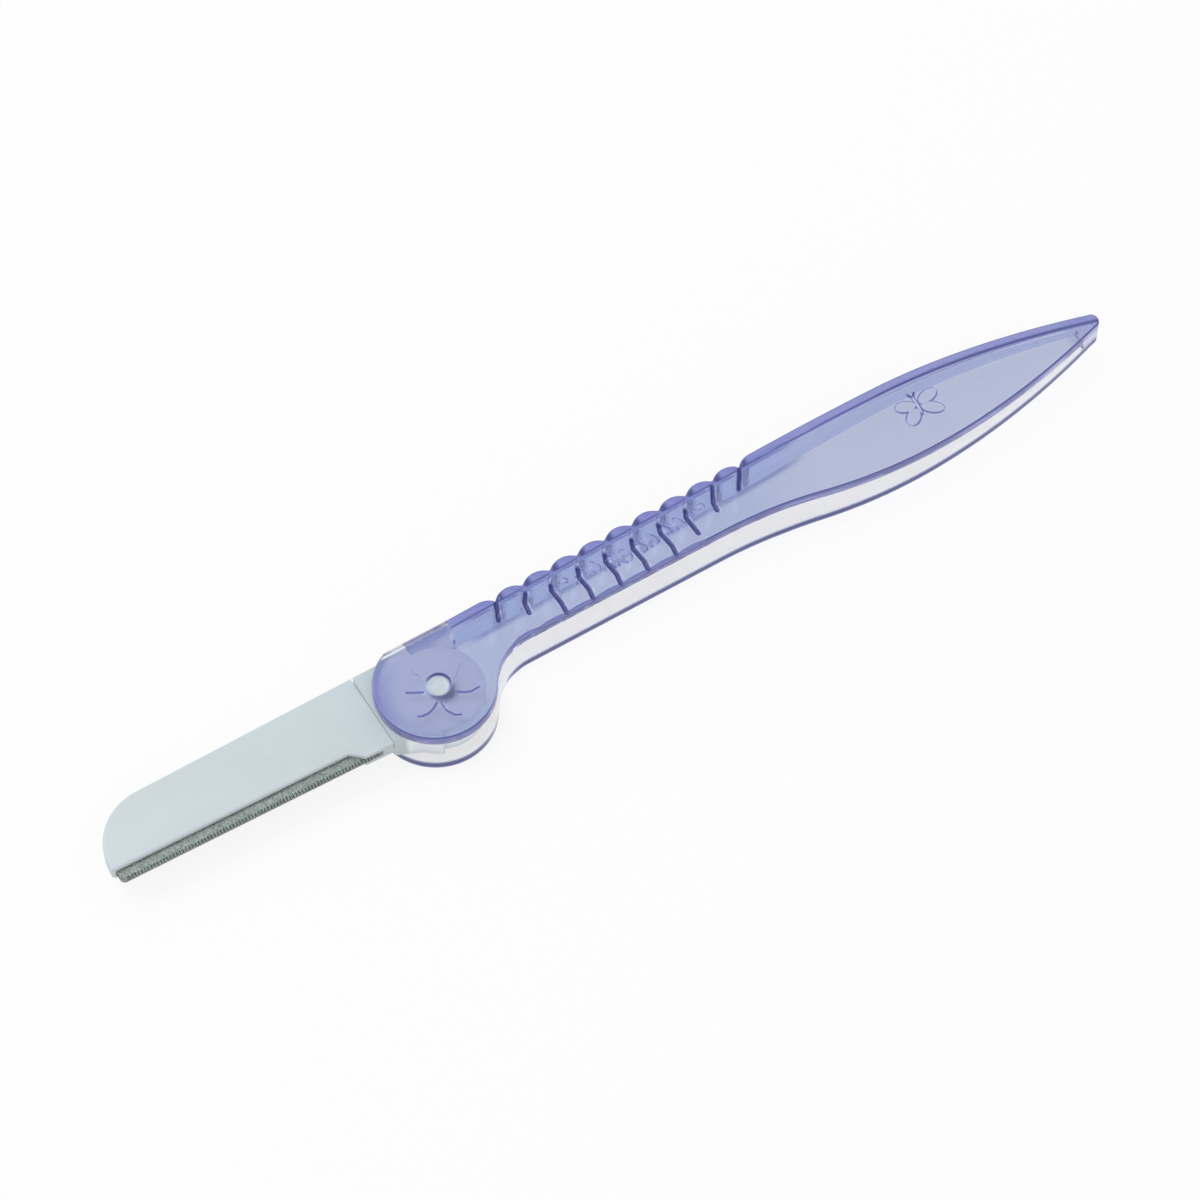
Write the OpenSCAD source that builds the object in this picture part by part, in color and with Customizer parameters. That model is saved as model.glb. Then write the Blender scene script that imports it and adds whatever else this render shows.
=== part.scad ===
// Folding eyebrow razor: a tinted one-piece handle with two cheeks and a
// scalloped spine, and a white blade head that folds into the slot between them.
// Origin on the pivot axis at the underside; +X to the tail, +Y to the spine, +Z up.

/* [Handle] */
// Radius of the hub disc round the pivot
hub_r = 8.45; // [8.2:0.05:8.8]
// Offset of the hub disc from the pivot axis, towards the blade
hub_shift_x = 0.35; // [0:0.05:0.5]
// Offset of the hub disc from the pivot axis, towards the back
hub_shift_y = 0.35; // [0:0.05:0.5]
// Thickness of the handle over both cheeks
handle_t = 8; // [7.6:0.1:9]
// Wall thickness of each cheek
cheek_t = 1.6; // [1.2:0.05:1.7]
// Thickness of the spine that joins the cheeks
spine_t = 1.5; // [1.3:0.05:1.7]
// Distance from the pivot axis to the start of the full-height spine
spine_x = 6.2; // [5:0.1:7]
// Height of the spine's back over the pivot axis, at the hub
spine_y = 8.05; // [7.95:0.05:8.3]
// Rise of the spine's back from the hub to the tail
spine_rise = 0.95; // [0.5:0.05:1.6]
// Height of the grip's open edge over the pivot axis
grip_y = 0.35; // [0:0.05:0.8]
// Radius of the neck between hub and grip
neck_r = 8.5; // [6:0.5:9.5]
// Height of the stop rib over the inside of the rear cheek
rib_h = 4.6; // [3:0.1:4.7]
// Reach of the stop rib past the pivot axis, towards the blade
rib_reach = 0.5; // [0:0.1:1.2]

/* [Grip] */
// Number of finger bumps along the spine
bump_count = 9; // [6:1:10]
// Distance between neighbouring bumps
bump_pitch = 4.375; // [4:0.125:4.75]
// Height of each bump over the valleys beside it
bump_rise = 0.95; // [0.5:0.05:1.1]
// Distance from the pivot axis to the first valley
bump_x = 13.15; // [12:0.05:15]
// Width of the grooves between the finger lobes
groove_w = 0.4; // [0.3:0.05:0.6]
// Depth of the grooves
groove_d = 0.35; // [0.2:0.05:0.5]
// Height of the raised drops and of the butterfly, and depth of the flower's lines
relief_h = 0.15; // [0.1:0.05:0.25]

/* [Tail] */
// Length of the tail from the last bump to its tip
tail_len = 56.3; // [45:0.1:65]
// Distance from the last bump to the widest place of the tail
tail_wide_x = 23; // [18:0.5:28]
// Depth of the belly below the grip's open edge
tail_belly = 3.25; // [2:0.05:4.5]
// Height of the tail's back over the pivot axis at its widest place
tail_back_y = 9.55; // [9.3:0.05:10.2]
// Radius of the rounded tip
tip_r = 1.15; // [0.8:0.05:1.6]
// Height of the tip's centre over the pivot axis
tip_y = 3.55; // [2.5:0.05:4.5]
// Thickness over both cheeks at the tip
tip_t = 4.5; // [4:0.1:6]
// Length of the solid end beyond the slot
tip_solid = 3.5; // [2.5:0.25:6]

/* [Pivot] */
// Radius of the pivot pin
pin_r = 1.55; // [1.2:0.05:2]
// Depth of the pin's front face below the cheek
pin_recess = 0.35; // [0.2:0.05:0.6]
// Thickness of the arm that turns between the cheeks
arm_t = 4.5; // [4:0.05:4.6]
// Radius of the arm's boss under the spine
boss_r = 6.4; // [5.6:0.1:6.5]
// Radius of the arm's larger sector, whose ends are the stops
sector_r = 7.1; // [6.8:0.05:7.1]
// Height of the arm's back over the pivot axis
arm_back_y = 7.75; // [7.3:0.05:7.9]

/* [Blade head] */
// Distance from the pivot axis to where the head meets the arm
head_root_x = 8.8; // [8.6:0.1:9.6]
// Distance from the arm to the guard's heel
heel_gap = 1.8; // [1.4:0.1:3]
// Height of the head's back over the pivot axis
head_back_y = 8.45; // [8:0.05:9]
// Thickness of the head over both halves
head_t = 2.4; // [2.2:0.1:3]
// Radius of the head's round tip
head_tip_r = 8.4; // [7:0.1:8.5]
// Depth of the head's heel below the pivot axis
heel_y = 3.2; // [2.9:0.05:3.6]

/* [Blade and guard] */
// Length of the guarded edge
edge_len = 39; // [34:0.5:39.5]
// Depth of the guard's heel below the pivot axis
edge_y = 3.35; // [3.1:0.05:3.6]
// Rise of the edge towards the tip, over its length
edge_rise = 1.1; // [0.6:0.05:1.6]
// Width of guard that stands out of the head
guard_proud = 1.72; // [1.3:0.02:2]
// Thickness of the guard over both leaves
guard_t = 1; // [0.9:0.02:1.2]
// Thickness of the guard's sheet metal
guard_sheet = 0.2; // [0.12:0.01:0.24]
// Number of comb slots through the guard's fold
comb_count = 38; // [20:1:44]
// Width of each comb slot
comb_w = 0.4; // [0.3:0.02:0.5]
// Thickness of the blade strip
blade_t = 0.25; // [0.2:0.01:0.3]
// Height of the blade strip
blade_h = 6; // [5.4:0.1:6.6]

/* [Hidden] */
$fn = 96;

// One overrun for every cut, and the clearances between the pieces
cut = 1;
press_gap = 0.02;
run_gap = 0.05;
stop_gap = 0.1;
pocket_gap = 0.03;

// Handle: heights, and the stations along it
mid_z = handle_t / 2;
slot_t = handle_t - 2 * cheek_t;
tail_x = bump_x + bump_count * bump_pitch;
wide_x = tail_x + tail_wide_x;
tip_x = tail_x + tail_len - tip_r;
taper_x = tail_x + 0.04 * tail_len;
slot_tip_t = tip_t - 2 * cheek_t;
belly_x = tail_x - 1.75 * bump_pitch;
curve_steps = 20;
back_power = 1.85;
belly_power = 1.9;

// Bumps: each is an arc over one pitch
bump_r = (pow(bump_pitch / 2, 2) + pow(bump_rise, 2)) / (2 * bump_rise);
bump_root_share = 1.25;
bump_blend_share = 0.05;

// Pivot bore mouth
mouth_flare = 0.1 * pin_r;
pin_chamfer = 0.1 * pin_r;

// Arm: where its stops lie
stop_x = rib_reach + stop_gap;
sector_end = 245;
sector_start = 95;
sector_foot = 225;

// Head, blade and guard
edge_x = head_root_x + heel_gap;
head_reach = edge_x + edge_len + press_gap + 0.5 * guard_t;
head_tip_x = head_reach - head_tip_r;
edge_tilt = atan(edge_rise / edge_len);
guard_h = guard_proud + 1.5;
guard_corner_r = 0.7 * guard_t;
comb_pitch = edge_len / (comb_count + 1);
comb_h = 0.9 * guard_t;
hone_h = 4 * blade_t;
edge_inset = guard_sheet + 0.1 * guard_t;
blade_len = edge_len - 2 * guard_t;
peg_r = 0.75;
peg_h = 0.3 * head_t;
peg_shares = [0.2, 0.8];

// Relief: shares of the bump pitch and of the grip's height
grip_h = spine_y - grip_y;
groove_top_share = 0.76;
groove_knee_share = 0.54;
groove_lean_shares = [0.16, 0.34];
cap_step = 30;
groove_end_shares = [0.54, 0.34, 0, 0, 0, 0, 0, 0.18, 0.42, 0.56];
drop_shares = [
    [2.23, 0.58, 0.14], [3.23, 0.52, 0.24], [3.88, 0.42, 0.16], [4.24, 0.5, 0.3], [4.83, 0.42, 0.16],
    [5.25, 0.52, 0.3], [5.88, 0.52, 0.14], [6.26, 0.57, 0.26], [7.22, 0.65, 0.14]
];
flower_axis = 242;
petal_starts = [6.5, 60, 121];
petal_bend = 79;
petal_r_share = 0.31;
wing_shares = [[38, 0.5, 0.3], [142, 0.5, 0.3], [-46, 0.38, 0.24], [226, 0.38, 0.24]];
butterfly_w = 7;
butterfly_x = tail_x + 0.47 * tail_len;
butterfly_y = grip_y + 0.36 * grip_h;

// Back of the handle along its length, as the line through the bump tops
function back_y(x) =
    x < tail_x ? spine_y + spine_rise * max(0, x - spine_x) / (tail_x - spine_x)
    : x < wide_x ? tail_back_y - (tail_back_y - spine_y - spine_rise) * pow((wide_x - x) / (wide_x - tail_x), 2)
    : tail_back_y - (tail_back_y - tip_y - tip_r) * pow((x - wide_x) / (tip_x - wide_x), back_power);

// Open edge of the handle along its length: straight, down to the belly, up to the tip
function open_y(x) =
    x < belly_x ? grip_y
    : x < wide_x ? grip_y - tail_belly * ease((x - belly_x) / (wide_x - belly_x))
    : grip_y - tail_belly
      + (tip_y - tip_r - grip_y + tail_belly) * pow((x - wide_x) / (tip_x - wide_x), belly_power);

// Two equal parabolas that meet half way, from 0 to 1
function ease(u) = u < 1/2 ? 2 * u * u : 1 - 2 * (1 - u) * (1 - u);

// Even stations from a towards b, which is left out
function stations(a, b) = [for (i = [0 : curve_steps - 1]) a + (b - a) * i / curve_steps];

// Middle of a bump, counted from 0 at the first one
function bump_mid(i) = bump_x + (i + 1/2) * bump_pitch;

// Plan of the handle, hub and tail tip included
module handle_plan() {
    hub_mid = [-hub_shift_x, hub_shift_y];
    neck_y = grip_y - neck_r;
    neck_x = sqrt(pow(hub_r + neck_r, 2) - pow(neck_y - hub_shift_y, 2)) - hub_shift_x;
    neck_start = atan2(hub_shift_y - neck_y, -hub_shift_x - neck_x);
    first = bump_mid(-1);
    last = bump_mid(bump_count);
    blend = bump_blend_share * bump_rise;
    root = bump_root_share * bump_rise;
    intersection() {
        translate(hub_mid) circle(r = hub_r);
        translate([-2 * hub_r, spine_y - 4 * hub_r]) square(4 * hub_r);
    }
    translate([tip_x, tip_y]) circle(r = tip_r);
    polygon(concat(
        [[0, 0]],
        [for (a = stations(neck_start, 90)) [neck_x, neck_y] + neck_r * [cos(a), sin(a)]],
        [[neck_x, grip_y]],
        [for (x = concat(stations(belly_x, wide_x), stations(wide_x, tip_x), [tip_x])) [x, open_y(x)]],
        [for (x = concat(stations(tip_x, wide_x), stations(wide_x, last))) [x, back_y(x)]],
        [[last, back_y(last) - blend], [last, back_y(last) - root]],
        [[first, back_y(first) - root], [first, back_y(first) - blend], [0, spine_y]]));
    for (i = [-1 : bump_count]) {
        translate([bump_mid(i), back_y(bump_mid(i)) - bump_r]) circle(r = bump_r);
    }
}

// Plan of the slot between the cheeks, open along the lower edge and at the hub
module slot_plan() {
    end_x = tip_x + tip_r - tip_solid;
    far = hub_r + tail_belly + cut;
    polygon(concat(
        [[-far, -far], [end_x, -far]],
        [for (x = concat(stations(end_x, wide_x), stations(wide_x, tail_x), [tail_x]))
            [x, back_y(x) - spine_t]],
        [[spine_x, spine_y - spine_t], [spine_x, far], [-far, far]]));
}

// Side view of a layer that is full_t thick and thins evenly along the tail to end_t
module tapered_layer(full_t, end_t) {
    far = hub_r + cut;
    end_x = tip_x + tip_r;
    rotate([90, 0, 0])
        translate([0, 0, -2 * far])
            linear_extrude(4 * far)
                polygon([
                    [-far, mid_z - full_t / 2], [taper_x, mid_z - full_t / 2], [end_x, mid_z - end_t / 2],
                    [end_x, mid_z + end_t / 2], [taper_x, mid_z + full_t / 2], [-far, mid_z + full_t / 2]]);
}

// One groove between two finger lobes: leaning at the top, then straight to its end
module groove_plan(x, end_share) {
    half = groove_w / 2;
    top = [x - groove_lean_shares[0] * bump_pitch, grip_y + groove_top_share * grip_h];
    knee = [x - groove_lean_shares[1] * bump_pitch, grip_y + groove_knee_share * grip_h];
    end = [knee[0], min(knee[1] - groove_w, grip_y + end_share * grip_h)];
    lean = atan2(top[0] - knee[0], top[1] - knee[1]);
    mitre = half * [1, -tan(lean / 2)];
    polygon(concat(
        [for (a = [0 : cap_step : 180]) top + half * [cos(a - lean), sin(a - lean)]],
        [knee - mitre],
        [for (a = [180 : cap_step : 360]) end + half * [cos(a), sin(a)]],
        [knee + mitre]));
}

// One edge of a petal, which leaves the pivot along X and bends round
module petal_line(bend_r) {
    translate([2 * pin_r - groove_w, bend_r])
        intersection() {
            difference() {
                circle(r = bend_r + groove_w / 4);
                circle(r = bend_r - groove_w / 4);
            }
            polygon([[0, 0], [0, -2 * bend_r], [2 * bend_r * tan(petal_bend), -2 * bend_r]]);
        }
}

// Drop or wing: the overlap of two arcs, lengthwise along X, with its middle at the origin
module lens_plan(length, width) {
    arc_r = (length * length + width * width) / (4 * width);
    intersection() {
        translate([0, arc_r - width / 2]) circle(r = arc_r);
        translate([0, width / 2 - arc_r]) circle(r = arc_r);
    }
}

// Grooves and petal lines cut into the front face
module relief_cuts() {
    translate([0, 0, handle_t - groove_d])
        linear_extrude(groove_d + cut) {
            for (i = [0 : bump_count]) {
                groove_plan(bump_x + i * bump_pitch, groove_end_shares[min(i, len(groove_end_shares) - 1)]);
            }
        }
    translate([0, 0, handle_t - relief_h])
        linear_extrude(relief_h + cut) {
            for (start = petal_starts) {
                rotate(flower_axis) {
                    rotate(start) petal_line(petal_r_share * hub_r);
                    mirror([0, 1]) rotate(start) petal_line(petal_r_share * hub_r);
                }
            }
        }
}

// Raised drops on the lobes, and a plain four-winged butterfly on the tail
module relief_raised() {
    lean = atan((handle_t - tip_t) / 2 / (tip_x + tip_r - taper_x));
    for (drop = drop_shares) {
        translate([bump_x + drop[0] * bump_pitch, grip_y + drop[1] * grip_h, handle_t - relief_h])
            linear_extrude(2 * relief_h)
                rotate(60) lens_plan(1.6 * drop[2] * bump_pitch, drop[2] * bump_pitch);
    }
    translate([butterfly_x, butterfly_y, handle_t - (butterfly_x - taper_x) * tan(lean)])
        rotate([0, lean, 0])
            translate([0, 0, -relief_h])
                linear_extrude(2 * relief_h) {
                    for (wing = wing_shares) {
                        rotate(wing[0])
                            translate([wing[1] / 2 * butterfly_w, 0])
                                lens_plan(wing[1] * butterfly_w, wing[2] * butterfly_w);
                    }
                    rotate(90) lens_plan(butterfly_w / 2, butterfly_w / 10);
                }
}

// Low rib on the rear cheek that stops the arm when the razor is open
module stop_rib() {
    intersection() {
        translate([-rib_reach, spine_y - spine_t, cheek_t - pocket_gap])
            cube([spine_x + rib_reach, 2 * spine_t, rib_h + pocket_gap]);
        linear_extrude(handle_t) handle_plan();
    }
}

// Handle: one tinted moulding, with two cheeks, the spine, the stop rib and the pivot bores
module handle() {
    color([0.62, 0.66, 0.86, 0.7])
        difference() {
            union() {
                difference() {
                    intersection() {
                        linear_extrude(handle_t) handle_plan();
                        tapered_layer(handle_t, tip_t);
                    }
                    intersection() {
                        linear_extrude(handle_t) slot_plan();
                        tapered_layer(slot_t, slot_tip_t);
                    }
                }
                stop_rib();
                relief_raised();
            }
            relief_cuts();
            translate([0, 0, -cut]) cylinder(r = pin_r + press_gap, h = handle_t + 2 * cut);
            translate([0, 0, handle_t - pin_recess])
                cylinder(r1 = pin_r + press_gap, r2 = pin_r + press_gap + 2 * mouth_flare, h = 2 * pin_recess);
        }
}

// Pivot pin: fixed in both cheeks, flush at the back and a little sunk at the front
module pivot_pin() {
    pin_h = handle_t - pin_recess;
    color("ghostwhite") {
        cylinder(r = pin_r, h = pin_h - pin_chamfer);
        translate([0, 0, pin_h - pin_chamfer])
            cylinder(r1 = pin_r, r2 = pin_r - pin_chamfer, h = pin_chamfer);
    }
}

// Plan of the arm: boss, larger sector with the stops at its ends, and the neck to the head
module arm_plan() {
    circle(r = boss_r);
    intersection() {
        circle(r = sector_r);
        polygon([
            [0, 0], 2 * sector_r * [cos(sector_start), sin(sector_start)], 2 * sector_r * [-1, 1],
            2 * sector_r * [-1, -1], 2 * sector_r * [cos(sector_end), sin(sector_end)]]);
    }
    polygon([
        [-stop_x, 0], [-stop_x, arm_back_y], [-head_root_x, arm_back_y],
        [-head_root_x, -heel_y], (sector_r - stop_gap) * [cos(sector_foot), sin(sector_foot)]]);
}

// Plan of the head: straight back, round tip, and a lower edge along the guard
module head_plan() {
    tip_edge = guard_line(head_reach) + guard_proud;
    heel_x = edge_x + 1.5 * guard_proud;
    intersection() {
        translate([-head_tip_x, head_back_y - head_tip_r]) circle(r = head_tip_r);
        translate([-head_reach, head_back_y - head_tip_r]) square(head_tip_r);
    }
    polygon([
        [-head_root_x, head_back_y], [-head_tip_x, head_back_y], [-head_tip_x, head_back_y - head_tip_r],
        [-head_reach, head_back_y - head_tip_r], [-head_reach, tip_edge + guard_corner_r / 2],
        [-head_reach + guard_corner_r / 2, tip_edge],
        [-heel_x - guard_proud, guard_line(heel_x + guard_proud) + guard_proud],
        [-heel_x, -heel_y + 0.1 * guard_proud], [-head_root_x, -heel_y]]);
}

// Height of the guard's lower line at a distance from the pivot axis
function guard_line(x) = -edge_y + (x - edge_x) * tan(edge_tilt);

// Places its children on the guard's lower line, heel at the origin, tip towards -X
module on_edge() {
    translate([-edge_x, -edge_y, mid_z]) rotate(-edge_tilt) children();
}

// Room for the blade and the guard inside the head
module blade_pocket() {
    on_edge() {
        pocket_box(edge_len, guard_h, guard_t);
        translate([-guard_t, edge_inset, 0]) pocket_box(blade_len, blade_h, blade_t);
    }
}

// Box with the pocket clearance all round, its back corner at the origin
module pocket_box(length, height, thick) {
    translate([-length - pocket_gap, -cut, -thick / 2 - pocket_gap])
        cube([length + 2 * pocket_gap, height + cut + pocket_gap, thick + 2 * pocket_gap]);
}

// Places its children at the two pegs that hold the blade
module at_pegs() {
    for (share = peg_shares) {
        on_edge()
            translate([-guard_t - share * blade_len, edge_inset + 0.75 * blade_h, 0]) children();
    }
}

// Carrier: the arm, the rear half of the head and the blade pegs, in one white moulding
module blade_carrier() {
    color("aliceblue")
        difference() {
            union() {
                translate([0, 0, mid_z - arm_t / 2]) linear_extrude(arm_t) arm_plan();
                difference() {
                    translate([0, 0, mid_z - head_t / 2]) linear_extrude(head_t / 2) head_plan();
                    blade_pocket();
                }
                at_pegs() translate([0, 0, -blade_t]) cylinder(r = peg_r, h = blade_t + peg_h);
            }
            translate([0, 0, mid_z - arm_t / 2 - cut]) cylinder(r = pin_r + run_gap, h = arm_t + 2 * cut);
        }
}

// Cover: the front half of the head, welded over the blade
module blade_cover() {
    color("aliceblue")
        difference() {
            translate([0, 0, mid_z]) linear_extrude(head_t / 2)
                intersection() {
                    head_plan();
                    translate([-head_reach - cut, -head_reach])
                        square([head_reach + cut - head_root_x - stop_gap, 2 * head_reach]);
                }
            blade_pocket();
            at_pegs() cylinder(r = peg_r + run_gap, h = peg_h + run_gap);
        }
}

// Blade: a hardened strip with two peg holes and a ground edge
module razor_blade() {
    color("lightgray")
        on_edge()
            translate([-guard_t, edge_inset, 0])
                difference() {
                    rotate([0, -90, 0])
                        linear_extrude(blade_len)
                            polygon([
                                [0, 0], [blade_t / 2, hone_h], [blade_t / 2, blade_h],
                                [-blade_t / 2, blade_h], [-blade_t / 2, hone_h]]);
                    for (share = peg_shares) {
                        translate([-share * blade_len, 0.75 * blade_h, -cut])
                            cylinder(r = peg_r + run_gap, h = 2 * cut);
                    }
                }
}

// Guard: thin sheet folded over the edge, with comb slots through the fold
module skin_guard() {
    color("darkgray")
        on_edge()
            difference() {
                intersection() {
                    rotate([0, -90, 0]) linear_extrude(edge_len) guard_profile();
                    translate([0, 0, -guard_t]) linear_extrude(2 * guard_t) guard_plan();
                }
                for (i = [1 : comb_count]) {
                    translate([-i * comb_pitch - comb_w / 2, -cut, -guard_t])
                        cube([comb_w, comb_h + cut, 2 * guard_t]);
                }
            }
}

// Section of the guard: two leaves joined by a round fold
module guard_profile() {
    inner_r = guard_t / 2 - guard_sheet;
    difference() {
        union() {
            translate([0, guard_t / 2]) circle(d = guard_t);
            translate([-guard_t / 2, guard_t / 2]) square([guard_t, guard_h - guard_t / 2]);
        }
        translate([0, guard_t / 2]) circle(r = inner_r);
        translate([-inner_r, guard_t / 2]) square([2 * inner_r, guard_h]);
    }
}

// Plan of the guard, with its outer corner at the tip rounded
module guard_plan() {
    translate([guard_corner_r - edge_len, guard_corner_r]) circle(r = guard_corner_r);
    translate([guard_corner_r - edge_len, 0]) square([edge_len - guard_corner_r, guard_h]);
    translate([-edge_len, guard_corner_r]) square([edge_len, guard_h - guard_corner_r]);
}

handle();
pivot_pin();
blade_carrier();
blade_cover();
razor_blade();
skin_guard();
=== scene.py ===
"""Folding eyebrow razor: a clear blue-tinted slotted handle and a white blade head with a combed guard."""

import math

import bmesh
import bpy
import numpy as np
from mathutils import Matrix, Vector
from mathutils.geometry import delaunay_2d_cdt


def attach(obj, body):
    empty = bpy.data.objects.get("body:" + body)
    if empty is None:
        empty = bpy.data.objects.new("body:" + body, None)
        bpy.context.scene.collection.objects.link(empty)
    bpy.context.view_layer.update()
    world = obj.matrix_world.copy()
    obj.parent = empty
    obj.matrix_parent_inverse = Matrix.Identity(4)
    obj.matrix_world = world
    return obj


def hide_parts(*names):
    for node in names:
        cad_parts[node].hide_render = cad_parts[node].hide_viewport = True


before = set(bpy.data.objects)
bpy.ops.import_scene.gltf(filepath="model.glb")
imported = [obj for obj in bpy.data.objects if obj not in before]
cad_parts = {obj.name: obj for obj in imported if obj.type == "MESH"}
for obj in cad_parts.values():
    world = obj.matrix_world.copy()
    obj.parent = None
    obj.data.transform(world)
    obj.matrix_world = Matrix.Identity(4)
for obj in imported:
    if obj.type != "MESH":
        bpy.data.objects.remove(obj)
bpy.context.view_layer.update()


# Camera: about 60 degrees above the table and 700 mm away, behind a long lens, as the photograph was
# taken. The razor's sizes in this file are in mm, and MM makes them metres.
MM = 0.001
AZIMUTH, ELEVATION = math.radians(-31.5), math.radians(59.5)
EYE = (-162.20, -305.90, 616.86)
scene = bpy.context.scene
right = Vector((math.cos(AZIMUTH), math.sin(AZIMUTH), 0))
back = Vector((
    math.sin(AZIMUTH) * math.cos(ELEVATION),
    -math.cos(AZIMUTH) * math.cos(ELEVATION),
    math.sin(ELEVATION)))
facing = Matrix((right, back.cross(right), back)).transposed().to_4x4()
lens = bpy.data.cameras.new("camera")
lens.sensor_width, lens.lens = 36, 157.5
camera = bpy.data.objects.new("camera", lens)
scene.collection.objects.link(camera)
camera.matrix_world = Matrix.Translation(MM * Vector(EYE)) @ facing
scene.camera = camera
scene.view_settings.view_transform = "Standard"


# Table: white paper under the razor, and a white surround with one broad soft lamp at the upper left.
# The paper is white to the camera and through the plastic, and still takes a soft shadow.
class Socket:
    """An output of a shader node. Plain arithmetic on it adds Math nodes."""

    def __init__(self, finish, out):
        self.finish, self.out = finish, out

    def math(self, operation, *others, clamp=False):
        settings = {"operation": operation, "use_clamp": clamp}
        return self.finish.node("Math", settings, dict(enumerate((self, *others))))

    def __add__(self, other):
        return self.math("ADD", other)

    def __mul__(self, other):
        return self.math("MULTIPLY", other)

    def __sub__(self, other):
        return self.math("SUBTRACT", other)

    def __rsub__(self, other):
        return self.finish.node("Math", {"operation": "SUBTRACT"}, {0: other, 1: self})

    __radd__, __rmul__ = __add__, __mul__


class Finish:
    """A material, and the nodes that give it its look."""

    def __init__(self, name):
        self.material = bpy.data.materials.new(name)
        self.material.use_nodes = True
        self.nodes = self.material.node_tree.nodes
        self.nodes.clear()
        self.output = self.nodes.new("ShaderNodeOutputMaterial")

    def join(self, slot, value):
        """Links an output to an input, or sets the input to a plain value."""
        if isinstance(value, Socket):
            self.material.node_tree.links.new(value.out, slot)
        else:
            slot.default_value = value

    def node(self, kind, settings=(), inputs=(), out=0):
        """Makes a node of a type, sets it and its inputs, and gives one of its outputs."""
        made = self.nodes.new("ShaderNode" + kind)
        for name, value in dict(settings).items():
            setattr(made, name, value)
        for name, value in dict(inputs).items():
            self.join(made.inputs[name], value)
        return Socket(self, made.outputs[out])

    def blend(self, share, low, high):
        """Colour that goes from low to high as the share goes from 0 to 1."""
        return self.node("Mix", {"data_type": "RGBA"}, {0: share, 6: low, 7: high}, out=2)

    def grain(self, size, detail=2.0, stretch=(1, 1, 1)):
        """Soft random pattern from 0 to 1 over the piece, with features of a size in mm. They are longer
        along an axis where stretch is low."""
        spot = self.node("TexCoord", out="Object")
        place = self.node("VectorMath", {"operation": "MULTIPLY"}, {0: spot, 1: stretch})
        inputs = {"Vector": place, "Scale": 1 / (MM * size), "Detail": detail}
        return self.node("TexNoise", {}, inputs, out="Fac")

    def uneven(self, height, depth):
        """Surface direction over a pattern of a height from 0 to 1 and a depth in mm."""
        inputs = {"Height": height, "Distance": MM * depth, "Strength": 1.0}
        return self.node("Bump", {}, inputs, out="Normal")

    def show(self, shader, where="Surface"):
        self.join(self.output.inputs[where], shader)


GLOW = 0.86
paper = Finish("paper")
seen = paper.node("LightPath", out="Is Camera Ray")
for ray in ("Is Glossy Ray", "Is Transmission Ray"):
    seen = seen.math("MAXIMUM", paper.node("LightPath", out=ray))
fibres = paper.blend(paper.grain(0.5, 4), (0.85, 0.85, 0.85, 1), (0.87, 0.87, 0.87, 1))
paper.show(paper.node("MixShader", {}, {
    0: GLOW * seen,
    1: paper.node("BsdfDiffuse", {}, {"Color": fibres}),
    2: paper.node("Emission", {}, {"Color": (1, 1, 1, 1), "Strength": 1.0})}))
TABLE_Z = -0.05
table_corners = [(x, y, TABLE_Z * MM) for x, y in ((-3, -3), (3, -3), (3, 3), (-3, 3))]
table_mesh = bpy.data.meshes.new("table")
table_mesh.from_pydata(table_corners, [], [(0, 1, 2, 3)])
table_mesh.materials.append(paper.material)
table = bpy.data.objects.new("table", table_mesh)
scene.collection.objects.link(table)

surround = bpy.data.worlds.new("surround")
surround.use_nodes = True
surround.node_tree.nodes["Background"].inputs["Color"].default_value = (1, 1, 1, 1)
surround.node_tree.nodes["Background"].inputs["Strength"].default_value = 0.8
scene.world = surround
lamp = bpy.data.lights.new("softbox", "AREA")
lamp.shape, lamp.size, lamp.size_y, lamp.energy = "RECTANGLE", 0.5, 0.5, 3
softbox = bpy.data.objects.new("softbox", lamp)
scene.collection.objects.link(softbox)
aim = Vector((-0.35, 0.45, 0.7)).to_track_quat("Z", "Y").to_matrix().to_4x4()
softbox.matrix_world = Matrix.Translation((-0.3, 0.5, 0.7)) @ aim


# Handle: one injection moulding in clear plastic, tinted a light blue. Its two flat cheeks are joined by
# a spine along the back, and the pivot pin holds the head between them. Where the painted shade rises, at
# rims, in grooves, along the spine and round the bore, the plastic is painted solid and dark: painted shade
# for the dark lines that light bent and piped along the cheeks draws there.
clear_blue = Finish("tinted_plastic")
painted_shade = clear_blue.node("Attribute", {"attribute_name": "painted_shade"}, out="Fac")
veil = clear_blue.node("Attribute", {"attribute_name": "veil"}, out="Fac")
frost = clear_blue.node("Attribute", {"attribute_name": "frost"}, out="Fac")
flow = clear_blue.grain(9, 2, (0.4, 1, 1))
sink = clear_blue.uneven(flow, 0.03)

# The veil is the share of the tint that a face shows. Frost is how matt the mould left it: up to 0.5 the
# face still lets light through, as the rear one does, and at 1 it is white, as it is under the grip.
tint = clear_blue.blend(veil * (0.95 + 0.1 * flow), (1.0, 0.995, 0.95, 1), (0.305, 0.39, 0.735, 1))
clear = clear_blue.node("BsdfPrincipled", {}, {
    "Base Color": tint, "Roughness": 0.02 + 0.58 * frost.math("MULTIPLY", 2, clamp=True),
    "IOR": 1.5, "Transmission Weight": 1.0, "Normal": sink})
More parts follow.
